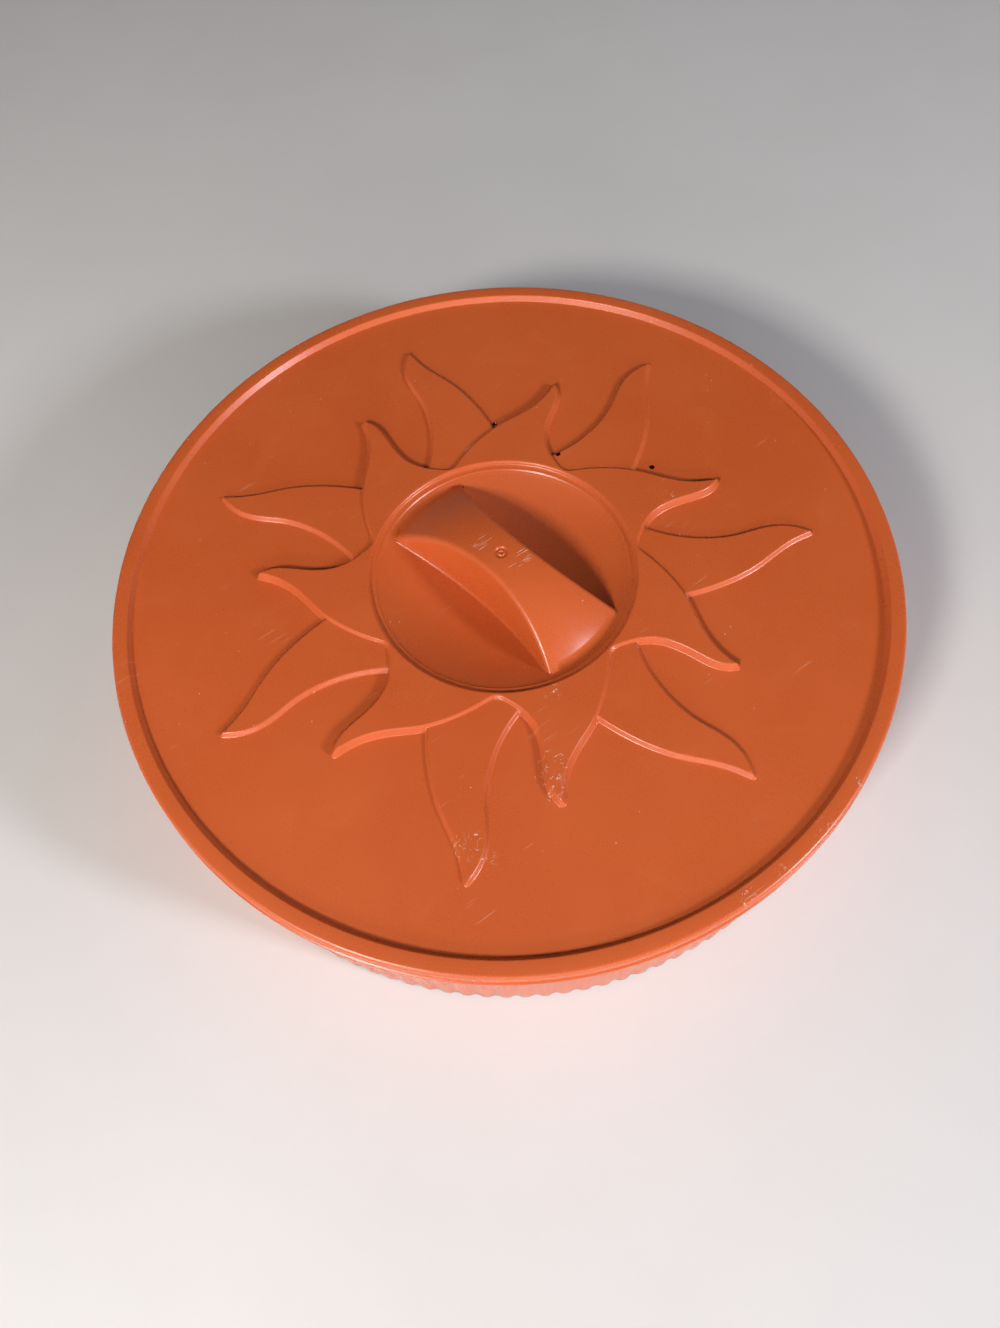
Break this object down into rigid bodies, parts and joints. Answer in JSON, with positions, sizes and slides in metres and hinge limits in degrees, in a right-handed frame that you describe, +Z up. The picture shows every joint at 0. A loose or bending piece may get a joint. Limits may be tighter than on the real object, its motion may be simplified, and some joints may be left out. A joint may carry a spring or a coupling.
{
  "type": "lidded food warmer",
  "caption": "Shallow round ribbed bowl with a lift-off lid: a sun in low relief round a dished recess that a domed grip bar crosses, with small steam vents.",
  "frame": {"origin": "centre of the bowl's base, on the surface it stands on", "axes": "+Z up, along the axis of bowl and lid; -Y towards the viewer of the picture; the grip bar lies at -50.4 degrees from +X"},
  "size_m": [0.2552, 0.2552, 0.0637],
  "materials": {
    "bowl_plastic": "satin terracotta moulded plastic",
    "lid_plastic": "satin terracotta moulded plastic, lightly scuffed"
  },
  "bodies": {
    "bowl": {"bowl": "bowl_plastic"},
    "lid": {"lid": "lid_plastic"}
  },
  "joints": [
    {"name": "lid_lift", "type": "slide", "parent": "bowl", "child": "lid", "axis": [0, 0, 1], "range_m": [0, 0.1]}
  ]
}
